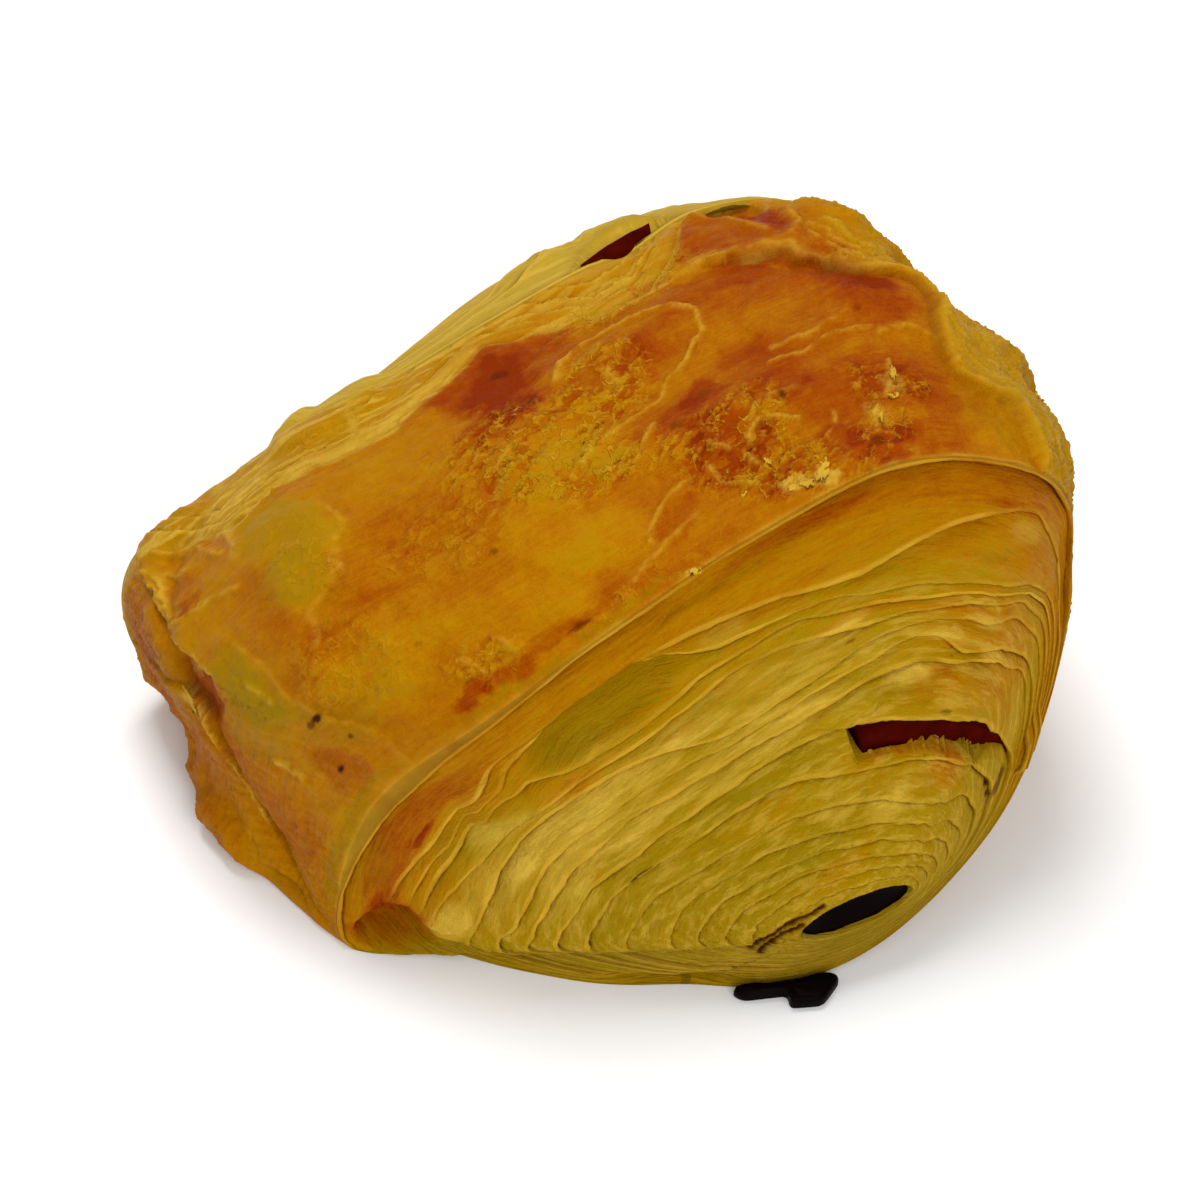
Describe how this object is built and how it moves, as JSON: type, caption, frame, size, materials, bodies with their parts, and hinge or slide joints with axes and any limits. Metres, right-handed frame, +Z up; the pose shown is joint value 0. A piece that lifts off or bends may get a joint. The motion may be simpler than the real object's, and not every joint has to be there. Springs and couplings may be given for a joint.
{
  "type": "pain au chocolat",
  "caption": "Baked rolled puff pastry with stepped laminated ends and dark chocolate batons running through it.",
  "frame": {"origin": "middle of the footprint box, on the flat face that the pastry rests on", "axes": "+X across the roll, +Y along the batons towards the end with the narrow steps, +Z up"},
  "size_m": [0.102, 0.0934, 0.0528],
  "materials": {
    "baked_dough": "egg-washed and baked golden brown on the crust, pale and matt on the layer edges",
    "dark_chocolate": "satin dark chocolate that has melted and set again"
  },
  "bodies": {
    "root": {"pastry": "baked_dough", "chocolate_upper": "dark_chocolate", "chocolate_lower": "dark_chocolate", "chocolate_foot": "dark_chocolate"}
  },
  "joints": []
}
